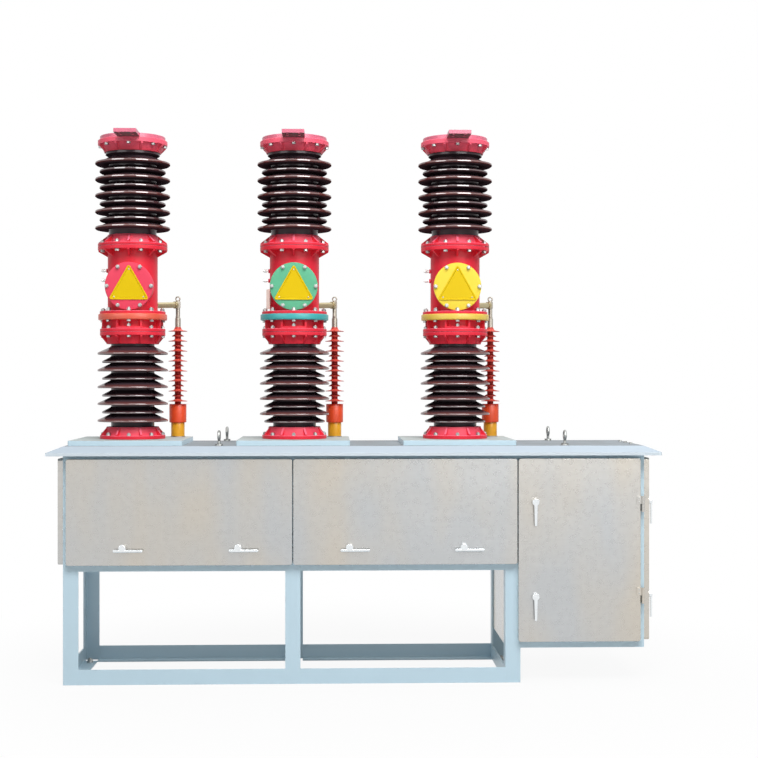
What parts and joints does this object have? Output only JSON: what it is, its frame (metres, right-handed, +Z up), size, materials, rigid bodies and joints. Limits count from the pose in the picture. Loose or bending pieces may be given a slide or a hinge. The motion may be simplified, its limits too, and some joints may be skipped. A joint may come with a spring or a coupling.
{
  "type": "outdoor vacuum circuit breaker",
  "caption": "Outdoor high-voltage vacuum circuit breaker: three red and brown porcelain poles on a steel stand, with a long covered box and a mechanism cabinet with doors.",
  "frame": {"origin": "on the ground under the middle of the roof, on the line of the three poles", "axes": "+X along the row of poles towards the mechanism cabinet, +Y to the rear, +Z up"},
  "size_m": [2.544, 0.698, 2.315],
  "materials": {
    "frame_paint": "satin light blue-grey paint",
    "stainless": "brushed stainless sheet",
    "handle_chrome": "bright plated casting",
    "roof_sheet": "pale grey-blue paint",
    "zinc_steel": "galvanised steel",
    "red_paint": "gloss red paint on castings",
    "brown_glaze": "dark brown glaze",
    "ring_paint": "gloss phase paint",
    "cover_paint": "gloss phase paint",
    "cap_paint": "gloss red paint, pad bare below",
    "silicone_rubber": "matt red-brown silicone rubber",
    "foot_resin": "orange sleeve over a yellow foot"
  },
  "bodies": {
    "frame": {"legs": "frame_paint", "base_rails": "frame_paint", "shelf_rails": "frame_paint", "top_rails": "frame_paint", "cross_rails": "frame_paint", "cabinet_posts": "frame_paint", "cabinet_sills": "frame_paint", "plinth_plates": "frame_paint", "enclosure_floor": "stainless", "cabinet_wall": "stainless", "cabinet_floor": "stainless", "front_covers": "stainless", "rear_covers": "stainless", "end_cover": "stainless", "hinge_brackets": "stainless", "roof": "roof_sheet", "lifting_eyes": "zinc_steel", "side_insulator_heads": "zinc_steel", "side_plugs": "zinc_steel", "fittings_1": "red_paint", "tank_1": "red_paint", "lower_insulator_1": "brown_glaze", "upper_insulator_1": "brown_glaze", "fittings_2": "red_paint", "tank_2": "red_paint", "lower_insulator_2": "brown_glaze", "upper_insulator_2": "brown_glaze", "fittings_3": "red_paint", "tank_3": "red_paint", "lower_insulator_3": "brown_glaze", "upper_insulator_3": "brown_glaze", "phase_rings": "ring_paint", "tank_covers": "cover_paint", "terminal_caps": "cap_paint", "side_insulators": "silicone_rubber", "side_insulator_feet": "foot_resin"},
    "front_door": {"front_door": "stainless", "front_door_knuckles": "stainless"},
    "side_door": {"side_door": "stainless", "side_door_knuckles": "stainless"},
    "cover_handle_1": {"cover_handle_1": "handle_chrome"},
    "cover_handle_2": {"cover_handle_2": "handle_chrome"},
    "cover_handle_3": {"cover_handle_3": "handle_chrome"},
    "cover_handle_4": {"cover_handle_4": "handle_chrome"},
    "front_handle_lower": {"front_handle_lower": "handle_chrome"},
    "front_handle_upper": {"front_handle_upper": "handle_chrome"},
    "side_handle_lower": {"side_handle_lower": "handle_chrome"},
    "side_handle_upper": {"side_handle_upper": "handle_chrome"}
  },
  "joints": [
    {"name": "front_door_hinge", "type": "hinge", "parent": "frame", "child": "front_door", "pos_m": [1.2005, -0.318, 0.556], "axis": [0, 0, 1], "range_deg": [0, 110]},
    {"name": "side_door_hinge", "type": "hinge", "parent": "frame", "child": "side_door", "pos_m": [1.241, 0.2775, 0.556], "axis": [0, 0, 1], "range_deg": [0, 110]},
    {"name": "cover_handle_1_turn", "type": "hinge", "parent": "frame", "child": "cover_handle_1", "pos_m": [-0.96175, -0.312, 0.571], "axis": [0, -1, 0], "range_deg": [0, 90]},
    {"name": "cover_handle_2_turn", "type": "hinge", "parent": "frame", "child": "cover_handle_2", "pos_m": [-0.48592, -0.312, 0.571], "axis": [0, -1, 0], "range_deg": [0, 90]},
    {"name": "cover_handle_3_turn", "type": "hinge", "parent": "frame", "child": "cover_handle_3", "pos_m": [-0.02475, -0.312, 0.571], "axis": [0, -1, 0], "range_deg": [0, 90]},
    {"name": "cover_handle_4_turn", "type": "hinge", "parent": "frame", "child": "cover_handle_4", "pos_m": [0.45108, -0.312, 0.571], "axis": [0, -1, 0], "range_deg": [0, 90]},
    {"name": "front_handle_lower_turn", "type": "hinge", "parent": "front_door", "child": "front_handle_lower", "pos_m": [0.75, -0.312, 0.362], "axis": [0, -1, 0], "range_deg": [0, 90]},
    {"name": "front_handle_upper_turn", "type": "hinge", "parent": "front_door", "child": "front_handle_upper", "pos_m": [0.75, -0.312, 0.756], "axis": [0, -1, 0], "range_deg": [0, 90]},
    {"name": "side_handle_lower_turn", "type": "hinge", "parent": "side_door", "child": "side_handle_lower", "pos_m": [1.235, -0.232, 0.362], "axis": [1, 0, 0], "range_deg": [0, 90]},
    {"name": "side_handle_upper_turn", "type": "hinge", "parent": "side_door", "child": "side_handle_upper", "pos_m": [1.235, -0.232, 0.756], "axis": [1, 0, 0], "range_deg": [0, 90]}
  ]
}
